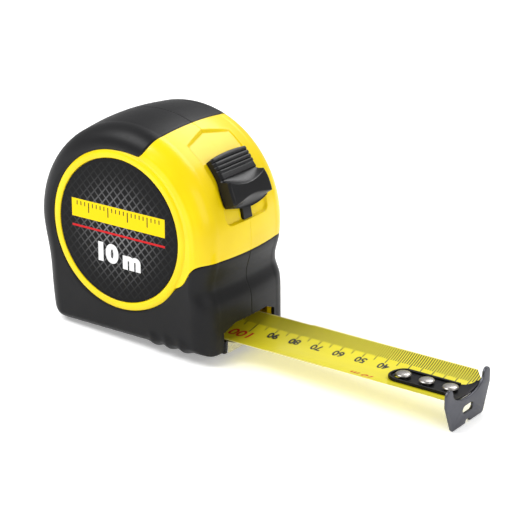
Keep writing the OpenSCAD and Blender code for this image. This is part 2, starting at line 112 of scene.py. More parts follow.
# %% A socket that can be used in formulas
class Wire:
    def __init__(self, tree, socket):
        self.tree = tree
        self.socket = socket

    def math(self, operation, *others):
        return self.tree.node("ShaderNodeMath", {"operation": operation}, [self, *others])

    def __add__(self, other): return self.math("ADD", other)
    def __radd__(self, other): return self.math("ADD", other)
    def __sub__(self, other): return self.math("SUBTRACT", other)
    def __rsub__(self, other):
        return self.tree.node("ShaderNodeMath", {"operation": "SUBTRACT"}, [other, self])
    def __mul__(self, other): return self.math("MULTIPLY", other)
    def __rmul__(self, other): return self.math("MULTIPLY", other)
    def __truediv__(self, other): return self.math("DIVIDE", other)
    def __lt__(self, other): return self.math("LESS_THAN", other)
    def __gt__(self, other): return self.math("GREATER_THAN", other)
    def abs(self): return self.math("ABSOLUTE")
    def fract(self): return self.math("FRACT")
    def power(self, other): return self.math("POWER", other)
    def least(self, other): return self.math("MINIMUM", other)
    def most(self, other): return self.math("MAXIMUM", other)

    def ramp(self, low, high, out_low=0.0, out_high=1.0):
        """Goes smoothly from out_low to out_high as the value goes from low to high."""
        return self.tree.node("ShaderNodeMapRange", {"interpolation_type": "SMOOTHSTEP"},
                              [self, low, high, out_low, out_high])


class Paint:
    """One material with a Principled shader, and short ways to add nodes to it."""

    def __init__(self, name, color, roughness, **sockets):
        self.material = bpy.data.materials.new(name)
        self.material.use_nodes = True
        self.nodes = self.material.node_tree.nodes
        self.links = self.material.node_tree.links
        self.shader = self.nodes["Principled BSDF"]
        self.material.diffuse_color = (*color, 1)
        self.set("Base Color", (*color, 1))
        self.set("Roughness", roughness)
        for key, value in sockets.items():
            self.set(key.replace("_", " "), value)

    def set(self, socket, value):
        if isinstance(value, Wire):
            self.links.new(value.socket, self.shader.inputs[socket])
        else:
            self.shader.inputs[socket].default_value = value

    def node(self, kind, settings=None, values=(), output=0):
        made = self.nodes.new(kind)
        for key, value in (settings or {}).items():
            setattr(made, key, value)
        pairs = values.items() if isinstance(values, dict) else enumerate(values)
        for key, value in pairs:
            if isinstance(value, Wire):
                self.links.new(value.socket, made.inputs[key])
            else:
                made.inputs[key].default_value = value
        return Wire(self, made.outputs[output])

    def place(self):
        """The Object coordinates, in millimetres from the middle of the base."""
        point = self.node("ShaderNodeTexCoord", output=3)
        return self.node("ShaderNodeVectorMath", {"operation": "SCALE"}, {0: point, 3: 1000.0})

    def parts(self, vector):
        return [self.node("ShaderNodeSeparateXYZ", {}, [vector], output=i) for i in range(3)]

    def noise(self, vector, scale, detail=3.0, roughness=0.5):
        return self.node("ShaderNodeTexNoise", {}, {
            "Vector": vector, "Scale": scale, "Detail": detail, "Roughness": roughness})

    def mix(self, factor, first, second):
        return self.node("ShaderNodeMix", {"data_type": "RGBA"}, {0: factor, 6: first, 7: second}, output=2)

    def bump(self, height, strength, distance):
        normal = self.node("ShaderNodeBump", {}, {
            "Strength": strength, "Distance": distance, "Height": height})
        self.set("Normal", normal)


# %% [markdown]
# ## Finishes
# Moulded ABS is smooth and bright with a faint orange-peel; the rubber is spark-eroded to a fine satin grain;
# the nylon of the lock is darker and smoother; the blade is lacquered steel. Each has a small variation in
# colour and roughness, at the scale of the real thing, so that no face is one flat colour.

# %% Yellow shell
def make_yellow(name):
    paint = Paint(
        name, (0.93, 0.69, 0.0), 0.30, Coat_Weight=0.12, Coat_Roughness=0.1, Specular_IOR_Level=0.25)
    place = paint.place()
    cloud = paint.noise(place, 0.05, 2.0)
    peel = paint.noise(place, 1.3, 2.0)
    scuff = paint.noise(place, 0.45, 5.0, 0.65).ramp(0.55, 0.75)
    paint.set("Base Color", paint.mix(cloud.ramp(0.3, 0.7), (0.90, 0.655, 0.0, 1), (0.955, 0.72, 0.002, 1)))
    paint.set("Roughness", 0.27 + 0.06 * peel + 0.07 * scuff)
    paint.bump(peel, 0.05, 0.0002)
    return paint.material


# %% Black rubber
def make_rubber(name):
    paint = Paint(name, (0.010, 0.010, 0.011), 0.5, Specular_IOR_Level=0.2)
    place = paint.place()
    grain = paint.noise(place, 5.5, 4.0, 0.6)
    cloud = paint.noise(place, 0.09, 3.0)
    wear = paint.noise(place, 0.9, 4.0).ramp(0.5, 0.8)
    paint.set("Base Color", paint.mix(cloud, (0.006, 0.006, 0.007, 1), (0.012, 0.012, 0.013, 1)))
    paint.set("Roughness", 0.38 + 0.10 * grain + 0.05 * wear)
    paint.bump(grain, 0.16, 0.00012)
    return paint.material


# %% Black plastic of the lock and the drum
def make_nylon(name, shade=0.008, rough=0.30):
    paint = Paint(name, (shade, shade, shade * 1.08), rough, Specular_IOR_Level=0.3)
    place = paint.place()
    grain = paint.noise(place, 3.0, 4.0, 0.6)
    paint.set("Base Color", paint.mix(grain, (shade * 0.75, shade * 0.75, shade * 0.8, 1),
                                      (shade * 1.4, shade * 1.4, shade * 1.5, 1)))
    paint.set("Roughness", rough - 0.04 + 0.10 * grain)
    paint.bump(grain, 0.08, 0.0001)
    return paint.material


# %% Metals
def make_metal(name, color, rough, brushed=(0.3, 9.0, 9.0), depth=0.10, spread=0.12):
    """Steel with fine drawn lines along X, stretched by `brushed`."""
    paint = Paint(name, color, rough, Metallic=1.0)
    place = paint.place()
    drawn_out = paint.node("ShaderNodeVectorMath", {"operation": "MULTIPLY"}, [place, brushed])
    lines = paint.noise(drawn_out, 1.0, 4.0)
    stain = paint.noise(place, 0.35, 4.0)
    dark = tuple(c * 0.72 for c in color) + (1,)
    light = tuple(min(1, c * 1.18) for c in color) + (1,)
    paint.set("Base Color", paint.mix(0.5 * lines + 0.5 * stain, dark, light))
    paint.set("Roughness", rough - spread / 2 + spread * lines + 0.06 * stain)
    paint.bump(lines, depth, 0.00008)
    return paint.material


yellow_abs = make_yellow("yellow_abs")
black_rubber = make_rubber("black_rubber")
black_nylon = make_nylon("black_nylon")
drum_nylon = make_nylon("drum_nylon", 0.05, 0.45)
hook_steel = make_metal("hook_steel", (0.105, 0.107, 0.122), 0.44, (0.5, 0.5, 6.0))
tongue_steel = make_metal("tongue_steel", (0.018, 0.018, 0.02), 0.36, (0.3, 6.0, 6.0))
nickel = make_metal("nickel", (0.44, 0.42, 0.40), 0.30, (3.0, 3.0, 3.0), 0.04)
bright_steel = make_metal("bright_steel", (0.66, 0.66, 0.68), 0.25, (6.0, 0.3, 6.0), 0.05)
spring_steel = make_metal("spring_steel", (0.24, 0.25, 0.30), 0.35, (0.4, 9.0, 0.4))
screw_black = make_metal("screw_black", (0.05, 0.05, 0.055), 0.38, (4.0, 4.0, 4.0))
print("finishes:", len(bpy.data.materials))

# %% [markdown]
# ## Mesh helpers
# Most surfaces here are grids of points worked out with numpy: rows run across the case and columns run
# round it. A grid is turned into a mesh once, and then gets its wall with Solidify.

# %% Grids to meshes
def make_object(name, vertices, faces, material, body, slot, smooth=40):
    mesh = bpy.data.meshes.new(name)
    mesh.from_pydata([tuple(v) for v in vertices], [], [tuple(f) for f in faces])
    made = bpy.data.objects.new(name, mesh)
    bpy.context.scene.collection.objects.link(made)
    mesh.materials.append(material)
    made["body"], made["slot"] = body, slot
    shade(made, smooth)
    return made


def shade(thing, degrees):
    mesh = thing.data
    mesh.polygons.foreach_set("use_smooth", [True] * len(mesh.polygons))
    mesh.set_sharp_from_angle(angle=math.radians(degrees))
    mesh.update()


def grid_faces(rows, columns, start=0, wrap=False):
    last = columns if wrap else columns - 1
    faces = []
    for r in range(rows - 1):
        for c in range(last):
            a = start + r * columns + c
            b = start + r * columns + (c + 1) % columns
            faces.append((a, b, b + columns, a + columns))
    return faces


def clean(thing, distance=0.000004):
    """Joins doubled points, drops faces without area and turns the faces outwards."""
    work = bmesh.new()
    work.from_mesh(thing.data)
    bmesh.ops.remove_doubles(work, verts=work.verts, dist=distance)
    bmesh.ops.dissolve_degenerate(work, edges=work.edges, dist=distance / 4)
    bmesh.ops.recalc_face_normals(work, faces=work.faces)
    work.to_mesh(thing.data)
    work.free()
    return thing


def apply_modifiers(thing, smooth=40):
    """Bakes the modifiers into a plain mesh."""
    graph = bpy.context.evaluated_depsgraph_get()
    baked = bpy.data.meshes.new_from_object(thing.evaluated_get(graph))
    thing.modifiers.clear()
    thing.data = baked
    shade(thing, smooth)
    return thing


def wall(thing, thickness):
    modifier = thing.modifiers.new("wall", "SOLIDIFY")
    modifier.thickness = thickness
    modifier.offset = -1
    modifier.use_rim = True
    return apply_modifiers(thing)


def cut(thing, *tools):
    for tool in tools:
        modifier = thing.modifiers.new("cut", "BOOLEAN")
        modifier.operation = "DIFFERENCE"
        modifier.solver = "MANIFOLD"
        modifier.object = tool
        apply_modifiers(thing)
    return thing


def drop(*things):
    for thing in things:
        bpy.data.objects.remove(thing)


def finish(thing, *nodes):
    """Rides on its body and stands for CAD nodes."""
    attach(thing, thing["body"])
    if nodes:
        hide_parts(*nodes)
    print(f"{thing.name}: {len(thing.data.polygons)} faces")
    return thing


def prism(name, outline, low, high, axis):
    """A straight prism for cutting: `outline` holds pairs, extruded along X or Y."""
    count = len(outline)
    spread = [(low, *p) if axis == "X" else (p[0], low, p[1]) for p in outline]
    spread += [(high, *p) if axis == "X" else (p[0], high, p[1]) for p in outline]
    faces = [tuple(range(count)), tuple(range(2 * count - 1, count - 1, -1))]
    faces += [(i, (i + 1) % count, count + (i + 1) % count, count + i) for i in range(count)]
    return clean(make_object(name, spread, faces, yellow_abs, "case", "yellow_shell"))


def lathe_y(profile, x, z, steps=96):
    """Points and faces of a solid turned about a line along Y.

    `profile` holds (radius, y) from pole to pole."""
    points, faces = [], []
    for radius, y in profile:
        for i in range(steps):
            a = 2 * math.pi * i / steps
            points.append((x + radius * math.cos(a), y, z + radius * math.sin(a)))
    faces = grid_faces(len(profile), steps, wrap=True)
    return points, faces


# %% [markdown]
# ## The outline of the case
# Seen from the side, the case is the tight band round three circles: the big round back and top, the
# front bottom corner and the rear bottom corner. The rounded edge is made of the same outline drawn in
# step by step, as the design does it. `outline_at` gives the distance from the spool axis to that band in
# any direction.

# %% Outline from three circles
FALL = 1.3 * MM  # how much the crown falls from the middle to where the edge starts


def outline_at(draw_in, angles):
    low = BASE_Z + max(draw_in - FALL, 0) * 0.55
    front_r = max(3 * MM - draw_in, 0.6 * MM)
    rear_r = max(9 * MM - draw_in, 0.6 * MM)
    circles = [
        (AXIS.x, BODY_Z, CASE_R - draw_in),
        (FRONT_LIMIT - draw_in - front_r, low + front_r, front_r),
        (REAR_FOOT + draw_in + rear_r, low + rear_r, rear_r)]
    turn = np.linspace(-math.pi, math.pi, 1441)
    reach = np.array([x * np.cos(turn) + z * np.sin(turn) + r for x, z, r in circles])
    pick = reach.argmax(0)
    cx = np.array([circles[i][0] + circles[i][2] * math.cos(t) for i, t in zip(pick, turn)])
    cz = np.array([circles[i][1] + circles[i][2] * math.sin(t) for i, t in zip(pick, turn)])
    fine = np.linspace(0, 1, 12, endpoint=False)
    px = np.concatenate([cx[i] + (cx[i + 1] - cx[i]) * fine for i in range(len(cx) - 1)])
    pz = np.concatenate([cz[i] + (cz[i + 1] - cz[i]) * fine for i in range(len(cz) - 1)])
    polar = np.unwrap(np.arctan2(pz - AXIS.z, px - AXIS.x))
    radius = np.hypot(px - AXIS.x, pz - AXIS.z)
    order = np.argsort(polar)
    wrapped = np.mod(angles - polar[order][0], 2 * math.pi) + polar[order][0]
    return np.interp(wrapped, polar[order], radius[order])


REAR_FOOT = AXIS.x - CASE_R + 4.5 * MM
print("outline radius at 0, 90, 180, 270 deg:",
      [round(float(outline_at(0, np.array([math.radians(a)]))[0]) * 1000, 2) for a in (0, 90, 180, 270)])


# %% [markdown]
# ## Borders between yellow and black
# The rubber stops along two lines. The upper one leaves the ring in a round lobe and runs out over the top;
# the lower one leaves the ring in an S and then runs level across the front. Both are angles about the
# spool axis that depend on how far out from the ring a point is.

# %% Border angles
def border_low(out):
    return np.radians(-7.9 - 25.0 * np.exp(-(out / (4.2 * MM)) ** 1.25))


def border_high(out):
    return np.radians(68.3 + 23 * np.exp(-(out / (2.5 * MM)) ** 1.2))


def smooth(value, low, high):
    t = np.clip((value - low) / (high - low), 0, 1)
    return t * t * (3 - 2 * t)


# %% [markdown]
# ## One skin for shell and rubber
# `skin` gives the outer surface of the right half for a grid of columns and rows. A column number from 0 to 1
# lies on the bare yellow front, and one from 1 to 2 lies under the rubber. The rows run from the ring's edge
# across the side, round the edge and over the crown to the middle plane.

# %% Rows across the half case
SIDE_ROWS = 14
ROUND_ROWS = 26
crown_y = np.concatenate([
    np.linspace(18, 14, 9)[1:], np.linspace(14, 12.2, 12)[1:], np.linspace(12.2, 3.3, 28)[1:],
    np.linspace(3.3, 2.6, 8)[1:], np.linspace(2.6, 0.5, 7)[1:], np.linspace(0.5, 0, 6)[1:]]) * MM
ROWS = SIDE_ROWS + ROUND_ROWS + len(crown_y)


def skin(columns):
    """Angles, radii and y of the grid, all as arrays of rows by columns."""
    shape = (ROWS, len(columns))
    angle, radius, y = np.zeros(shape), np.zeros(shape), np.zeros(shape)
    kind = np.concatenate([
        np.linspace(0, 1, SIDE_ROWS, endpoint=False),
        1 + np.linspace(0, 1, ROUND_ROWS),
        2 + np.arange(len(crown_y))])
    for r, k in enumerate(kind):
        if k < 1:
            draw_in, guess = EDGE_R, k * 4.5 * MM
        elif k <= 2 and r < SIDE_ROWS + ROUND_ROWS:
            lift = (k - 1) * math.pi / 2
            draw_in = FALL + (EDGE_R - FALL) * (1 - math.sin(lift))
            guess = 4.5 * MM + 8 * MM * math.sin(lift)
        else:
            draw_in = FALL * (crown_y[r - SIDE_ROWS - ROUND_ROWS] / (18 * MM)) ** 2
            guess = 12.5 * MM
        low, high = float(border_low(guess)), float(border_high(guess))
        span = np.where(columns <= 1, low + (high - low) * columns,
                        high + (low + 2 * math.pi - high) * (columns - 1))
        edge = outline_at(draw_in, span)
        if k < 1:
            radius[r] = RING_OUT + (edge - RING_OUT) * k
            y[r] = -(HALF_W - 0.55 * MM + 0.4 * MM * k)
        elif r < SIDE_ROWS + ROUND_ROWS:
            radius[r] = edge
            y[r] = -(18 * MM + (HALF_W - 18.15 * MM) * math.cos((k - 1) * math.pi / 2))
        else:
            radius[r] = edge
            y[r] = -crown_y[r - SIDE_ROWS - ROUND_ROWS]
        angle[r] = span
    return angle, radius, y


def to_space(angle, radius, y):
    return np.stack([AXIS.x + radius * np.cos(angle), y, AXIS.z + radius * np.sin(angle)], -1)


def normals(points):
    """Outward unit normals of a grid whose rows run outwards to the crown and columns anticlockwise."""
    along = np.gradient(points, axis=1)
    across = np.gradient(points, axis=0)
    n = np.cross(across, along)
    length = np.linalg.norm(n, axis=-1, keepdims=True)
    return n / np.maximum(length, 1e-12)


# %% [markdown]
# ## Shape of the front
# Below the lock the front is drawn in to a hollow, and the back has a slight waist. The lock sits in a recess
# whose floor is round about the spool axis, with a roof-shaped upper end and round lower corners.

# %% Waist and recess
WAIST_Z, WAIST_DEPTH = AXIS.z - 17 * MM, 2.2 * MM


def waist(points):
    z = points[..., 2]
    reach = np.where(z > WAIST_Z, 7.5 * MM, 5.0 * MM)
    front = np.exp(-np.abs((z - WAIST_Z) / reach) ** 2.2) * WAIST_DEPTH * 1.15
    facing = smooth(points[..., 0], FRONT_LIMIT - 14 * MM, FRONT_LIMIT - 3 * MM)
    rear = np.exp(-((z - 26 * MM) / (10 * MM)) ** 2) * 0.9 * MM
    behind = smooth(-points[..., 0], 26 * MM, 36 * MM)
    points[..., 0] += rear * behind - front * facing
    return points


def round_least(a, b, r):
    """The smaller of two distances, with a round corner of radius r."""
    corner = r - np.hypot(np.maximum(r - a, 0), np.maximum(r - b, 0))
    return np.where((a < r) & (b < r), corner, np.minimum(a, b))


def recess(angle, radius, y):
    """Lowers the grid to the recess floor and opens the slot for the stem."""
    arc = CASE_R
    width = 13.3 * MM - np.abs(y)
    low = (angle - math.radians(8)) * arc
    high = (math.radians(62.5) - angle) * arc - 0.30 * np.abs(y)
    inside = smooth(round_least(width, low, 3.4 * MM), 0, 0.6 * MM) * smooth(high, 0, 1.9 * MM)
    floor = CASE_R - 1.9 * MM
    radius = radius + (floor - radius) * inside
    slot = smooth(round_least(2.95 * MM - np.abs(y), (angle - math.radians(9)) * arc, 0.8 * MM), 0, 0.25 * MM)
    slot = slot * smooth(math.radians(44) - angle, 0, 0.006)
    return radius - slot * 1.9 * MM * (inside > 0.9), slot * (inside > 0.9)


# %% Numbers of columns
FRONT_COLUMNS = 300
RUBBER_COLUMNS = 430
HIDDEN_COLUMNS = 150


# %% [markdown]
# ## Yellow half shells
# One closed moulding makes the ring, the bare front and the part that the rubber covers, which lies lower by
# the rubber's thickness. The floor under the printed disc closes it at the side.

# %% Build one half shell
def shell_points():
    bare = np.linspace(0, 1, FRONT_COLUMNS)
    step = 0.004
    hidden = np.concatenate([[1 + step / 4], np.linspace(1 + step, 2 - step, HIDDEN_COLUMNS), [2 - step / 4]])
    columns = np.concatenate([bare, hidden])
    angle, radius, y = skin(columns)
    radius, slot = recess(angle, radius, y)
    points = waist(to_space(angle, radius, y))
    n = normals(points)
    height = np.zeros(angle.shape)
    # soft ridge where the side turns into the rounded edge
    fade = smooth(angle, math.radians(-14), math.radians(4))
    fade = fade * smooth(-angle, -math.radians(72), -math.radians(58))
    row = np.arange(ROWS)[:, None]
    height += 0.30 * MM * np.exp(-((row - SIDE_ROWS - 4.5) / 1.5) ** 2) * fade
    # hair-line joint at the middle plane
    height -= 0.16 * MM * smooth(0.22 * MM - np.abs(y), 0, 0.22 * MM) * (radius > CASE_R - 1.6 * MM)
    # step down under the rubber
    under = (columns > 1)[None, :] * np.ones(angle.shape, bool)
    height = np.where(under & (row > 0), -1.6 * MM, height)
    points = points + n * height[..., None]
    points[-1, :, 1] = -0.01 * MM
    return columns, points, slot


def ring_rows(columns_angle):
    """The raised ring round the disc, its inner wall and the floor of the disc's seat."""
    profile = [
        (0.6, -HALF_W + 1.1 * MM), (DISC_R * 0.5, -HALF_W + 1.1 * MM), (DISC_R * 0.85, -HALF_W + 1.1 * MM),
        (DISC_R + 0.15 * MM, -HALF_W + 1.1 * MM), (DISC_R + 0.17 * MM, -HALF_W + 0.55 * MM),
        (DISC_R + 0.20 * MM, -HALF_W + 0.30 * MM), (DISC_R + 0.32 * MM, -HALF_W + 0.12 * MM),
        (DISC_R + 0.55 * MM, -HALF_W + 0.03 * MM), (DISC_R + 1.1 * MM, -HALF_W),
        (DISC_R + 1.8 * MM, -HALF_W + 0.01 * MM), (DISC_R + 2.4 * MM, -HALF_W + 0.06 * MM),
        (DISC_R + 2.85 * MM, -HALF_W + 0.24 * MM), (DISC_R + 3.15 * MM, -HALF_W + 0.46 * MM)]
    profile[0] = (0.6 * MM, profile[0][1])
    rows = [to_space(columns_angle, np.full_like(columns_angle, r), np.full_like(columns_angle, y))
            for r, y in profile]
    return np.stack(rows)


def half_shell(name, body, side):
    columns, outer, slot = shell_points()
    ring_angle = np.arctan2(outer[0, :, 2] - AXIS.z, outer[0, :, 0] - AXIS.x)
    points = np.concatenate([ring_rows(ring_angle), outer])
    rows, count = points.shape[:2]
    faces = grid_faces(rows, count, wrap=True)
    open_rows = rows - ROWS
    gap = slot > 0.97
    kept = []
    for face in faces:
        r, c = divmod(face[0], count)
        c2 = (c + 1) % count
        if r >= open_rows and gap[r - open_rows, c] and gap[r - open_rows, c2] and (
                r + 1 < rows and gap[r + 1 - open_rows, c] and gap[r + 1 - open_rows, c2]):
            continue
        kept.append(face)
    hub = rows * count
    points = np.concatenate([points.reshape(-1, 3), [[AXIS.x, -HALF_W + 1.1 * MM, AXIS.z]]])
    kept += [((i + 1) % count, i, hub) for i in range(count)]
    if side > 0:
        points = points * np.array([1, -1, 1])
    thing = clean(make_object(name, points, kept, yellow_abs, body, "yellow_shell"))
    return thing


# %% [markdown]
# ## Rubber grips
# The grip is a C-shaped skin 1.5 mm thick with soft edges where it meets the ring and the yellow front. Three
# finger bumps stand on the lower edge near the front, and a thin joint line runs along the middle plane.

# %% Build one grip
def rubber_points():
    columns = 1 + np.linspace(0, 1, RUBBER_COLUMNS)
    # columns are packed closer at both borders, where the edge is rounded
    spread = columns - 1
    columns = 1 + spread - 0.03 * np.sin(2 * math.pi * spread) / (2 * math.pi)
    columns = 1 + np.clip(columns - 1, 0.0007, 0.9993)
    angle, radius, y = skin(columns)
    points = waist(to_space(angle, radius, y))
    n = normals(points)
    local = radius * (2 * math.pi - math.radians(78))
    from_border = np.minimum(columns - 1, 2 - columns)[None, :] * local
    row = np.arange(ROWS)[:, None]
    run = np.linalg.norm(np.diff(points, axis=0), axis=-1)
    from_ring = np.concatenate([np.zeros((1, points.shape[1])), np.cumsum(run, 0)])
    lip = 0.9 * MM
    edge = np.minimum(round_least(from_border, from_ring, 2.5 * MM), lip)
    height = -0.55 * MM * (1 - edge / lip) ** 2
    height -= 0.22 * MM * smooth(0.3 * MM - np.abs(y), 0, 0.3 * MM)
    # finger bumps on the lower edge
    for x in (16.5 * MM, 23.5 * MM, 30.5 * MM):
        near = np.exp(-((points[..., 0] - x) / (2.0 * MM)) ** 2)
        height += 0.95 * MM * near * np.exp(-((np.abs(y) - 22.5 * MM) / (5.5 * MM)) ** 4) * (
            smooth(-points[..., 2], -7 * MM, -4.5 * MM))
    points = points + n * height[..., None]
    points[-1, :, 1] = -0.01 * MM
    points[..., 2] = np.maximum(points[..., 2], BASE_Z - 0.6 * MM)
    return points


def half_grip(name, body, side):
    points = rubber_points()
    rows, count = points.shape[:2]
    faces = grid_faces(rows, count)
    flat = points.reshape(-1, 3)
    if side > 0:
        flat = flat * np.array([1, -1, 1])
    return clean(make_object(name, flat, faces, black_rubber, body, "rubber_grip"))


# %% Tools that cut the mouth
MOUTH_TOP, MOUTH_SIDE = 11.3 * MM, 8.7 * MM


def mouth_tool(grow):
    w, flat = 16.5 * MM + grow, 10 * MM + grow
    return prism("mouth_tool", [
        (-w, BASE_Z - 5 * MM), (w, BASE_Z - 5 * MM), (w, MOUTH_SIDE + grow), (flat, MOUTH_TOP + grow),
        (-flat, MOUTH_TOP + grow), (-w, MOUTH_SIDE + grow)], FRONT_LIMIT - 7 * MM, FRONT_LIMIT + 2 * MM, "X")


SCREWS = [(FRONT_LIMIT - 6.2 * MM, 14.6 * MM), (REAR_FOOT + 6 * MM, 11.4 * MM)]
SCREWS += [(AXIS.x + (CASE_R - 5 * MM) * math.cos(math.radians(a)),
            BODY_Z + (CASE_R - 5 * MM) * math.sin(math.radians(a)))
           for a in (140, 84)]


def tube(name, x, z, inner, outer, low, high, tilt=0.0):
    """A short tube along Y, or a plain rod when `inner` is zero. `tilt` lowers its outer side at the end."""
    profile = [(inner, low), (outer, low), (outer, high), (inner, high)]
    profile += [(inner, low)] if inner else []
    points, faces = lathe_y(profile, x, z, 40)
    out = Vector((x - AXIS.x, z - BODY_Z)).normalized()
    points = [(px, py - tilt * ((px - x) * out.x + (pz - z) * out.y) * (py > high - 0.5 * MM), pz)
              for px, py, pz in points]
    return clean(make_object(name, points, faces, yellow_abs, "case", "yellow_shell"))


shells = {}
for side, word in ((-1, "right"), (1, "left")):
    shell = wall(half_shell(f"shell_{word}", "case", side), 2.0 * MM)
    grip = wall(half_grip(f"rubber_{word}", "case", side), 1.45 * MM)
    tool = mouth_tool(0)
    cut(shell, tool)
    cut(grip, tool)
    drop(tool)
    channel = prism("channel", [(-16.8 * MM, BASE_Z - 5 * MM), (16.8 * MM, BASE_Z - 5 * MM),
                                (16.8 * MM, 7.6 * MM), (-16.8 * MM, 7.6 * MM)],
                                -34 * MM, FRONT_LIMIT - 5 * MM, "X")
    cut(shell, channel)
    drop(channel)
    channel = prism("channel", [(-16.4 * MM, 1.8 * MM), (16.4 * MM, 1.8 * MM),
                                (16.4 * MM, 7.6 * MM), (-16.4 * MM, 7.6 * MM)],
                                -33.3 * MM, FRONT_LIMIT - 5 * MM, "X")
    cut(grip, channel)
    drop(channel)
    if side > 0:
        for x, z in SCREWS:
            rod = tube("pocket", x, z, 0, 2.9 * MM, 12 * MM, 30 * MM)
            cut(shell, rod)
            cut(grip, rod)
            drop(rod)
    shells[word] = (shell, grip)
    print(word, "half:", len(shell.data.polygons), "+", len(grip.data.polygons), "faces")

# %% [markdown]
# ## Lettering
# The only signs are plain numbers and the unit of length. A text curve is turned into a mesh, cut into
# narrow bands so that it can follow a curved face, and laid just above that face by `place`.

# %% Numbers as meshes
def number_mesh(word, size, weight, squeeze=1.0, lean=0.0):
    curve = bpy.data.curves.new("number", "FONT")
    curve.body = word
    curve.size, curve.offset, curve.shear = size, weight, lean
    curve.align_x, curve.align_y = "CENTER", "CENTER"
    curve.resolution_u = 6
    thing = bpy.data.objects.new("number", curve)
    bpy.context.scene.collection.objects.link(thing)
    bpy.context.view_layer.update()
    mesh = bpy.data.meshes.new_from_object(thing.evaluated_get(bpy.context.evaluated_depsgraph_get()))
    drop(thing)
    work = bmesh.new()
    work.from_mesh(mesh)
    tallest = max(abs(v.co.y) for v in work.verts)
    steps = int(tallest / (0.5 * MM)) + 1
    for i in range(-steps, steps + 1):
        bmesh.ops.bisect_plane(work, geom=work.verts[:] + work.edges[:] + work.faces[:],
                               plane_co=(0, i * 0.5 * MM, 0), plane_no=(0, 1, 0))
    bmesh.ops.triangulate(work, faces=work.faces)
    work.verts.index_update()
    points = [(v.co.x * squeeze, v.co.y) for v in work.verts]
    faces = [tuple(v.index for v in f.verts) for f in work.faces]
    work.free()
    bpy.data.meshes.remove(mesh)
    return points, faces


def lay_numbers(name, items, place, material, body, slot):
    """items: (word, size, weight, u, v). place(u, v) gives the point on the face."""
    points, faces = [], []
    for word, size, weight, u0, v0, squeeze in items:
        flat, polygons = number_mesh(word, size, weight, squeeze)
        start = len(points)
        points += [place(u0 + u, v0 + v) for u, v in flat]
        faces += [tuple(start + i for i in f) for f in polygons]
    return make_object(name, points, faces, material, body, slot)


# %% [markdown]
# ## Printed discs
# A disc of black sheet is stuck in the seat inside each ring. The print is a fine diamond mesh that fades
# towards the edge, a yellow band with a plain graduation, a thin red line and the length of the blade. It is
# a neutral design: the printed words of the real label are left out.

# %% Disc material
def make_disc_print(name, mirror):
    paint = Paint(name, (0.01, 0.01, 0.011), 0.42, Specular_IOR_Level=0.12)
    place = paint.place()
    x, y, z = paint.parts(place)
    u = (x - AXIS.x / MM) * mirror
    v = z - AXIS.z / MM
    far = (u * u + v * v).power(0.5)
    slant_a = ((u * 1.08 + v) / 4.0).fract() - 0.5
    slant_b = ((u * 1.08 - v) / 4.0).fract() - 0.5
    wire_a = slant_a.abs().ramp(0.07, 0.13, 1.0, 0.0)
    wire_b = slant_b.abs().ramp(0.07, 0.13, 1.0, 0.0)
    mesh = wire_a.most(wire_b) * far.ramp(3.0, 25.5, 1.0, 0.04) * (far < 27.2)
    cloud = paint.noise(place, 0.12, 2.0)
    ground = paint.mix(mesh * (0.55 + 0.5 * cloud), (0.004, 0.004, 0.0045, 1), (0.21, 0.21, 0.215, 1))
    shown = 1.0 if mirror > 0 else 0.0
    band = (u.abs() < 22.6) * ((v - 5.45).abs() < 3.65) * shown
    tick = ((u / 1.9).fract() - 0.5).abs() < 0.12
    long_tick = ((u / 9.5).fract() - 0.5).abs() < 0.026
    ticks = (tick * (v > 6.6)).most(long_tick * (v > 4.3)) * (u.abs() < 21.2) * (v < 8.3)
    line = (u.abs() < 22.6) * ((v + 1.8).abs() < 0.42) * shown
    with_band = paint.mix(band, ground, (0.93, 0.68, 0.0, 1))
    with_ticks = paint.mix(band * ticks, with_band, (0.012, 0.012, 0.013, 1))
    paint.set("Base Color", paint.mix(line, with_ticks, (0.62, 0.012, 0.016, 1)))
    grain = paint.noise(place, 4.0, 3.0)
    paint.set("Roughness", 0.33 + 0.10 * grain)
    paint.bump(grain + 0.6 * mesh, 0.06, 0.0001)
    return paint.material


white_print = Paint("white_print", (0.86, 0.86, 0.86), 0.4)
white_print.set("Roughness", 0.36 + 0.1 * white_print.noise(white_print.place(), 2.0))
white_cloud = white_print.noise(white_print.place(), 0.8)
white_print.set("Base Color", white_print.mix(white_cloud, (0.82, 0.82, 0.82, 1), (0.9, 0.9, 0.9, 1)))
white_print = white_print.material

disc_face = HALF_W - 0.2 * MM
for word, side in (("right", -1), ("left", 1)):
    profile = [(0.0, side * (disc_face - 0.5 * MM)), (DISC_R - 0.1 * MM, side * (disc_face - 0.5 * MM)),
               (DISC_R - 0.02 * MM, side * (disc_face - 0.12 * MM)), (DISC_R - 0.12 * MM, side * disc_face),
               (DISC_R * 0.6, side * disc_face), (0.0, side * disc_face)]
    points, faces = lathe_y(profile, AXIS.x, AXIS.z, 160)
    disc = clean(make_object(f"disc_{word}", points, faces, make_disc_print(f"disc_print_{word}", -side),
                             "case", "label_print"))
    shade(disc, 30)
    finish(disc, f"label_{word}")
    if side > 0:
        continue
    face_y = side * (disc_face + 0.03 * MM)
    letters = lay_numbers(
        f"disc_length_{word}", [("10", 9.6 * MM, 0.62 * MM, -5.9 * MM, -10.4 * MM, 1.15),
                                ("m", 9.6 * MM, 0.62 * MM, 6.4 * MM, -11.4 * MM, 1.15)],
        lambda u, v: (AXIS.x - side * u, face_y, AXIS.z + v), white_print, "case", "label_print")
    finish(letters)

# %% [markdown]
# ## Blade
# The blade is a steel strip rolled to a shallow trough so that it can stand out straight, lacquered yellow
# and printed. The front stretch carries the hook; the stretch behind it stands in for the blade that is fed
# from the coil. Both are bent grids with a thin wall. The graduation is part of the material: it is worked
# out from the distance to the outer face of the hook, so it stays true if the blade's length is changed.

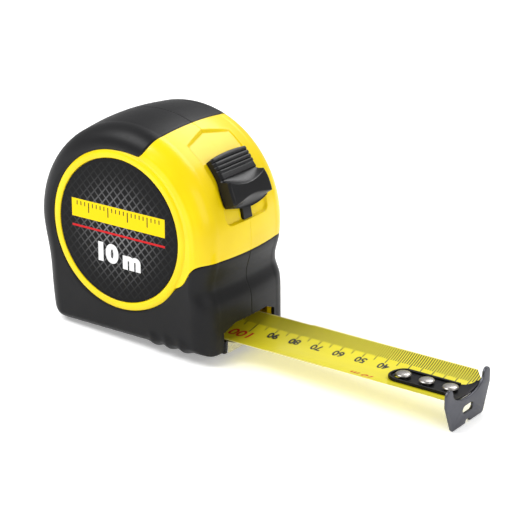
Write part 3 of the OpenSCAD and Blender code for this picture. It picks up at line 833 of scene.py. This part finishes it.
# %% Blade material
BLADE_R = 32 * MM
blade_low, blade_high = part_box("blade_front")
CURVE_Z = blade_low.z + BLADE_R + 0.2 * MM
HALF_BLADE = blade_high.y
HOOK_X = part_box("end_hook")[1].x - 1.2 * MM
ZERO_X = HOOK_X + 1.2 * MM
FRONT_BACK = blade_low.x


def make_blade_print(name):
    paint = Paint(name, (0.76, 0.66, 0.02), 0.34, Coat_Weight=0.2, Coat_Roughness=0.2)
    place = paint.place()
    x, y, z = paint.parts(place)
    run = ZERO_X / MM - x

    def marks(period, width, limit):
        off = ((run / period + 0.5).fract() - 0.5).abs() * period
        return off.ramp(width * 0.42, width * 0.58, 1.0, 0.0) * (y > limit)

    every = marks(1.0, 0.40, 9.3).most(marks(5.0, 0.36, 6.9)).most(marks(10.0, 0.4, 6.8))
    tenth = marks(100.0, 0.45, 3.2)
    ink = every.most(tenth) * (y < HALF_BLADE / MM - 0.35)
    # painted highlight: within half a millimetre of both long edges the lacquer turns pale, standing in for
    # light catching the edges
    edge = y.abs().ramp(HALF_BLADE / MM - 0.5, HALF_BLADE / MM - 0.2)
    drawn_out = paint.node("ShaderNodeVectorMath", {"operation": "MULTIPLY"}, [place, (0.05, 0.3, 0.3)])
    cloud = paint.noise(drawn_out, 1.0)
    lacquer = paint.mix(cloud, (0.72, 0.63, 0.012, 1), (0.80, 0.71, 0.03, 1))
    lacquer_with_edge_highlight = paint.mix(edge, lacquer, (0.9, 0.82, 0.35, 1))
    paint.set("Base Color", paint.mix(ink, lacquer_with_edge_highlight, (0.02, 0.02, 0.018, 1)))
    grain = paint.noise(place, 2.5, 4.0)
    paint.set("Roughness", 0.26 + 0.10 * grain + 0.08 * ink)
    paint.bump(grain, 0.05, 0.0001)
    return paint.material


blade_print = make_blade_print("blade_print")
black_ink = Paint("black_ink", (0.02, 0.02, 0.018), 0.4)
ink_grain = black_ink.noise(black_ink.place(), 2.0)
black_ink.set("Roughness", 0.32 + 0.12 * ink_grain)
black_ink.set("Base Color", black_ink.mix(ink_grain, (0.014, 0.014, 0.013, 1), (0.028, 0.028, 0.025, 1)))
black_ink = black_ink.material
red_ink = Paint("red_ink", (0.55, 0.02, 0.01), 0.4)
ink_grain = red_ink.noise(red_ink.place(), 2.0)
red_ink.set("Roughness", 0.32 + 0.12 * ink_grain)
red_ink.set("Base Color", red_ink.mix(ink_grain, (0.5, 0.018, 0.01, 1), (0.66, 0.03, 0.014, 1)))
red_ink = red_ink.material


# %% Two stretches of blade
def blade_strip(name, body, low, high, top_r, half, chamfer, nodes):
    y = np.linspace(-half, half, 61)
    t = np.linspace(0, 1, 120)[:, None]
    tip = high - np.maximum(np.abs(y) - (half - chamfer), 0)
    x = low + (tip - low)[None, :] * t
    z = np.broadcast_to(CURVE_Z - np.sqrt(top_r ** 2 - y ** 2), x.shape)
    points = np.stack([x, np.broadcast_to(y, x.shape), z], -1).reshape(-1, 3)
    faces = [tuple(reversed(f)) for f in grid_faces(120, 61)]
    strip = make_object(name, points, faces, blade_print, body, "blade_print")
    wall(strip, 0.13 * MM)
    return finish(strip, *nodes)


feed_low, feed_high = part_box("blade_feed")
blade_strip(
    "blade_front_look", "blade", FRONT_BACK, blade_high.x, BLADE_R, HALF_BLADE, 4 * MM, ["blade_front"])
blade_strip("blade_feed_look", "feed", feed_low.x, feed_high.x, BLADE_R + 0.16 * MM, HALF_BLADE - 0.1 * MM,
            0.0, ["blade_feed"])


# %% Numbers on the blade
def on_blade(top_r):
    def place(u, v):
        x, y = -u, -v
        return (x, y, CURVE_Z - math.sqrt(top_r ** 2 - y ** 2) + 0.025 * MM)
    return place


near, fed = [], []
for ten in range(10, 100, 10):
    x = ZERO_X - ten * MM
    item = (str(ten), 5.0 * MM, 0.16 * MM, -x - 0.7 * MM, -4.7 * MM, 0.92)
    if x < FRONT_BACK:
        fed.append(item)
    else:
        near.append(item)
finish(lay_numbers("blade_numbers_front", near, on_blade(BLADE_R), black_ink, "blade", "blade_print"))
finish(lay_numbers("blade_numbers_feed", fed, on_blade(BLADE_R), black_ink, "feed", "blade_print"))
hundred = [("100", 8.0 * MM, 0.18 * MM, -(ZERO_X - 101.2 * MM), -0.4 * MM, 0.9)]
finish(lay_numbers("blade_hundred", hundred, on_blade(BLADE_R + 0.16 * MM), red_ink, "feed", "blade_print"))
small = [("10 m", 4.8 * MM, 0.14 * MM, -(ZERO_X - 41.0 * MM), 7.6 * MM, 1.05)]
finish(lay_numbers("blade_length", small, on_blade(BLADE_R), red_ink, "blade", "blade_print"))


# %% [markdown]
# ## Flat outlines to solid plates
# A plate pressed from sheet has the same outline all through and a small round on its edges. A flat curve
# with `extrude` and a bevel gives that; it is made a mesh and then laid in place by a function.

# %% Plates
def plate(name, outlines, thickness, bevel, place, material, body, slot, bands=None, smooth=35):
    curve = bpy.data.curves.new(name, "CURVE")
    curve.dimensions, curve.fill_mode = "2D", "BOTH"
    curve.extrude, curve.bevel_depth, curve.bevel_resolution = thickness / 2 - bevel, bevel, 2
    curve.offset = -bevel
    for outline in outlines:
        spline = curve.splines.new("POLY")
        spline.points.add(len(outline) - 1)
        spline.use_cyclic_u = True
        for point, (u, v) in zip(spline.points, outline):
            point.co = (u, v, 0, 1)
    thing = bpy.data.objects.new(name, curve)
    bpy.context.scene.collection.objects.link(thing)
    bpy.context.view_layer.update()
    mesh = bpy.data.meshes.new_from_object(thing.evaluated_get(bpy.context.evaluated_depsgraph_get()))
    drop(thing)
    work = bmesh.new()
    work.from_mesh(mesh)
    bmesh.ops.remove_doubles(work, verts=work.verts, dist=0.000002)
    for v in (bands if bands is not None else []):
        bmesh.ops.bisect_plane(work, geom=work.verts[:] + work.edges[:] + work.faces[:],
                               plane_co=(0, v, 0), plane_no=(0, 1, 0))
    work.verts.index_update()
    points = [place(*v.co) for v in work.verts]
    faces = [tuple(v.index for v in f.verts) for f in work.faces]
    work.free()
    return clean(make_object(name, points, faces, material, body, slot, smooth), 0.000002)


def arc(cx, cy, r, a0, a1, steps):
    return [(cx + r * math.cos(math.radians(a)), cy + r * math.sin(math.radians(a)))
            for a in np.linspace(a0, a1, steps)]


# %% [markdown]
# ## Hook
# The hook is pressed from thick steel and dark coated: a plate that hangs below the blade with two ears above
# it, and a black tongue that lies in the blade's trough under three rivets. Its holes are long, so that it
# moves by its own thickness.

# %% Hook plate
hook_low, hook_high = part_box("end_hook")
DROP, EAR = hook_low.z, hook_high.z
ear_r = 2.2 * MM
ear_y = HALF_BLADE - ear_r
half_plate = [(1.2 * MM, DROP + 1.3 * MM), (1.75 * MM, DROP)]
half_plate += arc(HALF_BLADE - 5.5 * MM, DROP + 1.5 * MM, 1.5 * MM, -90, -20, 8)
half_plate += [(HALF_BLADE, 3 * MM)]
half_plate += arc(ear_y, EAR - ear_r, ear_r, 0, 180, 20)
arch = HALF_BLADE - 4.4 * MM
half_plate += [(arch * math.cos(t), EAR - ear_r - (EAR - ear_r - 2.2 * MM) * math.sin(t))
               for t in np.linspace(0.08, math.pi / 2, 22)]
whole = half_plate + [(-y, z) for y, z in reversed(half_plate[:-1])]
slot_hole = arc(2.2 * MM, -2.2 * MM, 1.45 * MM, 90, -90, 14)
slot_hole = slot_hole + arc(-2.2 * MM, -2.2 * MM, 1.45 * MM, 270, 90, 14)
hook_plate = plate("hook_plate", [whole, slot_hole], 1.2 * MM, 0.28 * MM,
                   lambda u, v, w: (HOOK_X + 0.6 * MM + w, u, v), hook_steel, "hook", "hook_steel")
finish(hook_plate, "end_hook")

# %% Hook tongue
TONGUE_BACK = HOOK_X - 32.2 * MM
half_tongue = 5.5 * MM
outline = arc(TONGUE_BACK + half_tongue, 0, half_tongue, 90, 270, 28)
outline += [(HOOK_X - 5.2 * MM, -half_tongue), (HOOK_X - 3.4 * MM, -6.2 * MM), (HOOK_X - 2.0 * MM, -7.8 * MM),
            (HOOK_X - 1.1 * MM, -9.8 * MM), (HOOK_X + 0.3 * MM, -10.5 * MM)]
outline += [(x, -y) for x, y in reversed(outline[-5:])]
window = arc(TONGUE_BACK + 4.0 * MM, 0, 1.9 * MM, -90, -270, 16)
window = window + arc(TONGUE_BACK + 5.4 * MM, 0, 1.9 * MM, 90, -90, 16)


def in_trough(rise):
    def place(u, v, w):
        return (u, v, CURVE_Z - math.sqrt((BLADE_R - rise) ** 2 - v ** 2) + w)
    return place


bands = [v * MM for v in np.arange(-10, 10.1, 0.8)]
tongue = plate("hook_tongue", [outline, window], 0.6 * MM, 0.12 * MM, in_trough(0.45 * MM), tongue_steel,
               "hook", "hook_steel", bands)
finish(tongue)
rim_out = arc(TONGUE_BACK + half_tongue, 0, half_tongue, 90, 270, 28) + [
    (HOOK_X - 5.2 * MM, -half_tongue), (HOOK_X - 5.2 * MM, -4.5 * MM)]
rim_in = arc(TONGUE_BACK + half_tongue, 0, half_tongue - 1.0 * MM, 270, 90, 28) + [
    (HOOK_X - 5.2 * MM, 4.5 * MM), (HOOK_X - 5.2 * MM, half_tongue)]
rim = plate("tongue_rim", [rim_out + rim_in], 0.8 * MM, 0.3 * MM, in_trough(1.0 * MM), tongue_steel,
            "hook", "hook_steel", bands)
finish(rim)


# %% [markdown]
# ## Rivets
# Turned parts that repeat are made once and set out with Geometry Nodes: a line of points carries the
# rivets. The tree takes the count, the start and the step as inputs.

# %% A row of equal parts
def lathe_z(profile, steps=48):
    points = []
    for radius, z in profile:
        points += [(radius * math.cos(2 * math.pi * i / steps), radius * math.sin(2 * math.pi * i / steps), z)
                   for i in range(steps)]
    return points, grid_faces(len(profile), steps, wrap=True)


def row_tree(name, sample, material):
    tree = bpy.data.node_groups.new(name, "GeometryNodeTree")
    face = tree.interface
    face.new_socket("Geometry", in_out="INPUT", socket_type="NodeSocketGeometry")
    count = face.new_socket("Count", in_out="INPUT", socket_type="NodeSocketInt")
    start = face.new_socket("Start", in_out="INPUT", socket_type="NodeSocketVector")
    step = face.new_socket("Step", in_out="INPUT", socket_type="NodeSocketVector")
    face.new_socket("Geometry", in_out="OUTPUT", socket_type="NodeSocketGeometry")
    new = tree.nodes.new
    source, target = new("NodeGroupInput"), new("NodeGroupOutput")
    line, info = new("GeometryNodeMeshLine"), new("GeometryNodeObjectInfo")
    copies = new("GeometryNodeInstanceOnPoints")
    real = new("GeometryNodeRealizeInstances")
    paint = new("GeometryNodeSetMaterial")
    line.mode = "OFFSET"
    info.inputs["Object"].default_value = sample
    paint.inputs["Material"].default_value = material
    link = tree.links.new
    link(source.outputs["Count"], line.inputs["Count"])
    link(source.outputs["Start"], line.inputs["Start Location"])
    link(source.outputs["Step"], line.inputs["Offset"])
    link(line.outputs["Mesh"], copies.inputs["Points"])
    link(info.outputs["Geometry"], copies.inputs["Instance"])
    link(copies.outputs["Instances"], real.inputs["Geometry"])
    link(real.outputs["Geometry"], paint.inputs["Geometry"])
    link(paint.outputs["Geometry"], target.inputs["Geometry"])
    return tree, (count.identifier, start.identifier, step.identifier)


def set_out(name, sample, material, body, slot, count, start, step):
    tree, names = row_tree(name, sample, material)
    row = make_object(name, [(0, 0, 0)], [], material, body, slot)
    modifier = row.modifiers.new("row", "NODES")
    modifier.node_group = tree
    for key, value in zip(names, (count, start, step)):
        modifier[key] = value
    apply_modifiers(row, 35)
    drop(sample)
    return row


rivet_foot = CURVE_Z - BLADE_R - 0.09 * MM
head = CURVE_Z - math.sqrt((BLADE_R - 0.75 * MM) ** 2 - (3 * MM) ** 2) + 0.55 * MM - rivet_foot
profile = [(0, 0), (1.5, 0), (1.5, head / MM - 0.1), (2.75, head / MM), (2.95, head / MM + 0.15),
           (3.0, head / MM + 0.35), (2.9, head / MM + 0.6), (2.6, head / MM + 0.85), (2.0, head / MM + 1.0),
           (1.2, head / MM + 1.07), (0.6, head / MM + 1.09), (0, head / MM + 1.1)]
points, faces = lathe_z([(r * MM, z * MM) for r, z in profile])
sample = clean(make_object("rivet_sample", points, faces, nickel, "blade", "bright_steel"))
rivets = set_out("rivet_row", sample, nickel, "blade", "bright_steel", 3,
                 (HOOK_X - 6.5 * MM, 0, rivet_foot), (-10 * MM, 0, 0))
finish(rivets, "hook_rivets")


# %% [markdown]
# ## Thumb lock
# The button is a satin moulding, ribbed above and with a waisted hump below for the thumb. It slides round
# the spool axis, so its faces are arcs about that axis: a radius for every angle and every place across.

# %% Button
def button_radius(angle, y):
    """Radius in mm over the angle in degrees and y in mm."""
    w = np.abs(y) / 11.0
    face_low, face_high = 20.6 - 2.8 * w ** 2, 26.0 + 3.0 * w ** 2
    up_t = np.clip((angle - face_high) / (31.6 - face_high), 0, 1)
    down_t = np.clip((face_low - angle) / (face_low - 14.6), 0, 1)
    hump = np.where(angle > face_high, 44.3 + 3.1 * (1 - up_t) ** 2.0, 47.4)
    hump = np.where(angle < face_low, 47.4 - 2.2 * np.sin(down_t * 2.2) / np.sin(2.2) * down_t ** 0.3, hump)
    rib = (angle - 34.6) / 2.15
    phase = rib - np.floor(rib)
    ribbed = 44.2 + 0.7 * (1 - np.abs(2 * phase - 1) ** 4)
    slope = 44.3 + 0.45 * np.clip((angle - 31.6) / 0.3, 0, 1) - 0.08 * (angle - 31.9)
    out = np.where(angle > 31.6, np.where(angle > 34.6, ribbed, slope), hump)
    return out - 1.1 * np.clip((w - 1.0) / 0.11, 0, 1) ** 2


def arc_slab(name, angles, y, top, bottom, material, body, slot):
    """A closed body between two faces given as radii over angle and y; all in metres and radians."""
    rows, count = angles.shape
    upper = np.stack([AXIS.x + top * np.cos(angles), y, AXIS.z + top * np.sin(angles)], -1).reshape(-1, 3)
    lower = np.stack([AXIS.x + bottom * np.cos(angles), y, AXIS.z + bottom * np.sin(angles)], -1)
    lower = lower.reshape(-1, 3)
    n = rows * count
    faces = grid_faces(rows, count)
    faces += [tuple(i + n for i in reversed(f)) for f in grid_faces(rows, count)]
    ring = [c for c in range(count)] + [r * count + count - 1 for r in range(1, rows)]
    ring += [(rows - 1) * count + c for c in range(count - 2, -1, -1)]
    ring += [r * count for r in range(rows - 2, 0, -1)]
    for i, a0 in enumerate(ring):
        b0 = ring[(i + 1) % len(ring)]
        faces.append((a0, b0, b0 + n, a0 + n))
    return clean(make_object(name, np.concatenate([upper, lower]), faces, material, body, slot, 38))


angles = np.concatenate([np.linspace(14.9, 31.5, 64), np.linspace(31.6, 31.95, 5),
                         np.linspace(32.1, 34.6, 8)[:-1],
                         np.linspace(34.6, 43.2, 64)])
y = np.concatenate([np.linspace(-12.2, -11, 7)[:-1], np.linspace(-11, 11, 49), np.linspace(11, 12.2, 7)[1:]])
A, Y = np.meshgrid(angles, y, indexing="ij")
top = button_radius(A, Y) * MM
across = (Y / 12.2) ** 2
bend = np.where(A > 40, (A - 40) * 0.30 * (1 - across), 0) + np.where(A < 20, (20 - A) * 0.5 * across, 0)
narrow = 0.905 + 0.095 * np.exp(-np.abs((A - 22.0) / 7.4) ** 3.5)
button = arc_slab("thumb_button", np.radians(A + bend), Y * narrow * MM, top,
                  np.full(A.shape, CASE_R - 1.55 * MM), black_nylon, "lock", "black_plastic")
finish(button, "lock_button")

# %% [markdown]
# ## Belt clip
# A strip of spring steel bent to a smooth bow: flat where it is screwed on, standing off the case below, and
# turned out again at its lower end so that a belt slips in. The strip is a grid along its path, rounded at the
# lower corners, with the wall added by Solidify.

# %% Clip
clip_low, clip_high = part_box("belt_clip")
CLIP_IN, CLIP_OUT, CLIP_T = clip_low.y + 0.02 * MM, clip_high.y, 1.0 * MM
stand = CLIP_OUT - CLIP_T - 0.05 * MM
heights = np.array([
    0, 2, 6, 10.5, 13, 15.5, 17.5, 20, 26, 33, 37, 41, 45, 47.5, 50,
    clip_high.z / MM - clip_low.z / MM])
rise = (stand - CLIP_IN) / MM
bow = np.array([0, 0, 0, 0, 0.05, 0.35, 0.68, 0.93, 1.0, 1.0, 0.92, 0.62, 0.32, 0.27, 0.40, 0.62]) * rise
run = np.linspace(0, heights[-1], 120)
half_clip = (clip_high.x - clip_low.x) / 2
soft = np.interp(run, heights, bow)
for _ in range(14):
    soft[1:-1] = (soft[:-2] + 2 * soft[1:-1] + soft[2:]) / 4
clip_points = []
for down, out in zip(run, soft):
    left_over = max(0.0, 3.0 - (heights[-1] - down), 1.6 - down)
    corner = 3.0 if heights[-1] - down < 3.0 else 1.6
    tuck = corner - math.sqrt(max(corner ** 2 - left_over ** 2, 0.0)) if left_over > 0 else 0.0
    reach = half_clip - tuck * MM
    clip_points += [(AXIS.x + reach * c, CLIP_IN + CLIP_T + out * MM, clip_high.z - down * MM)
                    for c in np.linspace(-1, 1, 25)]
clip_faces = [tuple(reversed(f)) for f in grid_faces(120, 25)]
clip = make_object("belt_clip_look", clip_points, clip_faces, bright_steel, "case", "bright_steel", 50)
wall(clip, CLIP_T)
finish(clip, "belt_clip")

# %% Materials of the CAD nodes that stay
for node, material in {
        "nose_plate": bright_steel, "hook_bumper": black_rubber, "blade_coil": yellow_abs, "drum": drum_nylon,
        "drum_cover": drum_nylon, "power_spring": spring_steel, "tail_rivet": nickel, "centre_post": drum_nylon,
        "lock_slider": black_nylon, "brake_pads": black_rubber,
        "clip_screw": screw_black, "case_screws": screw_black}.items():
    NODE[node].data.materials.clear()
    NODE[node].data.materials.append(material)

# %% Bosses of the case screws
for i, (x, z) in enumerate(SCREWS):
    boss_top = (22.5 if i < 2 else 20.8) * MM
    boss = tube(f"screw_boss_{i + 1}", x, z, 2.9 * MM, 3.5 * MM, 17.6 * MM, boss_top, 0.5)
    shade(boss, 30)
    finish(boss)

# %% Shells and grips take their places
for word in ("right", "left"):
    finish(shells[word][0], f"case_{word}")
    finish(shells[word][1], f"grip_{word}")

# %% [markdown]
# ## Floor and light
# The case rests on its rear heel and on the hook, so the floor passes through both. The light is a white
# room with one large soft box above and a smaller one in front.

# %% Floor
heel = Vector((REAR_FOOT + 9 * MM, 0, BASE_Z))
hook_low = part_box("end_hook")
toe = Vector((hook_low[1].x, 0, hook_low[0].z))
slope = math.atan2(heel.z - toe.z, toe.x - heel.x)
size = 1.5
corners = []
for dx, dy in ((-size, -size), (size, -size), (size, size), (-size, size)):
    corners.append((heel.x + dx * math.cos(slope), dy, heel.z - dx * math.sin(slope) - 0.0002))
floor_mesh = bpy.data.meshes.new("floor")
floor_mesh.from_pydata(corners, [], [(0, 1, 2, 3)])
floor = bpy.data.objects.new("floor", floor_mesh)
bpy.context.scene.collection.objects.link(floor)
floor_paint = Paint(
    "pale_floor", (0.94, 0.94, 0.94), 0.7, Emission_Color=(1, 1, 1, 1), Emission_Strength=0.32)
floor_paint.set("Roughness", 0.65 + 0.1 * floor_paint.noise(floor_paint.place(), 0.02))
floor_mesh.materials.append(floor_paint.material)

# %% Light
world = bpy.data.worlds.new("room")
world.use_nodes = True
world.node_tree.nodes["Background"].inputs["Color"].default_value = (1, 1, 1, 1)
world.node_tree.nodes["Background"].inputs["Strength"].default_value = 0.42
bpy.context.scene.world = world
bpy.context.scene.view_settings.view_transform = "Standard"


def soft_box(name, place, target, width, height, watts):
    data = bpy.data.lights.new(name, "AREA")
    data.shape = "RECTANGLE"
    data.size, data.size_y, data.energy = width, height, watts
    light = bpy.data.objects.new(name, data)
    bpy.context.scene.collection.objects.link(light)
    light.location = place
    light.rotation_euler = (Vector(target) - Vector(place)).to_track_quat("-Z", "Y").to_euler()
    return light


middle = (0.04, 0, 0.04)
soft_box("key", (-0.35, -0.45, 0.8), middle, 0.5, 0.5, 7.0)
soft_box("fill", (0.8, -0.15, 0.35), middle, 0.5, 0.5, 1.4)
soft_box("rim", (0.1, 0.6, 0.7), middle, 0.7, 0.4, 4.5)
